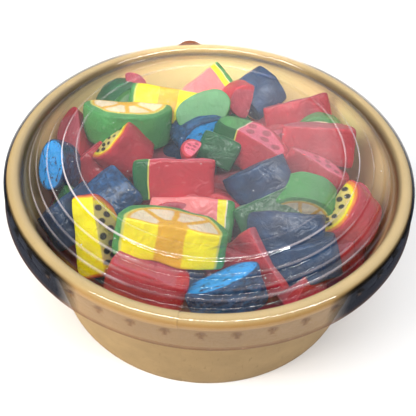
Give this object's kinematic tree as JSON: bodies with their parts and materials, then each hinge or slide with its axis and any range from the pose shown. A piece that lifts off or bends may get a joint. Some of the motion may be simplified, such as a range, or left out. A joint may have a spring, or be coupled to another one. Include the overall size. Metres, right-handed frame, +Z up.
{
  "type": "lidded bowl of candy",
  "caption": "Round brown paper bowl with a rolled rim, heaped with cut pieces of soft fruit candy and shut with a clear stepped lid.",
  "frame": {"origin": "on the bowl's axis, at the level its foot ring stands on", "axes": "+Z up out of the bowl, +Y towards the side with the lid's pull tab, +X to the right of someone facing the tab"},
  "size_m": [0.1544, 0.1563, 0.066],
  "materials": {
    "kraft": "uncoated brown paperboard, matt, with fine fibres",
    "clear_lid": "thin clear plastic sheet, glossy, lightly misted on the inside",
    "candy": "soft sugar candy, slightly glossy"
  },
  "bodies": {
    "root": {"bowl": "kraft", "lid": "clear_lid", "candy_heap": "candy"}
  },
  "joints": []
}
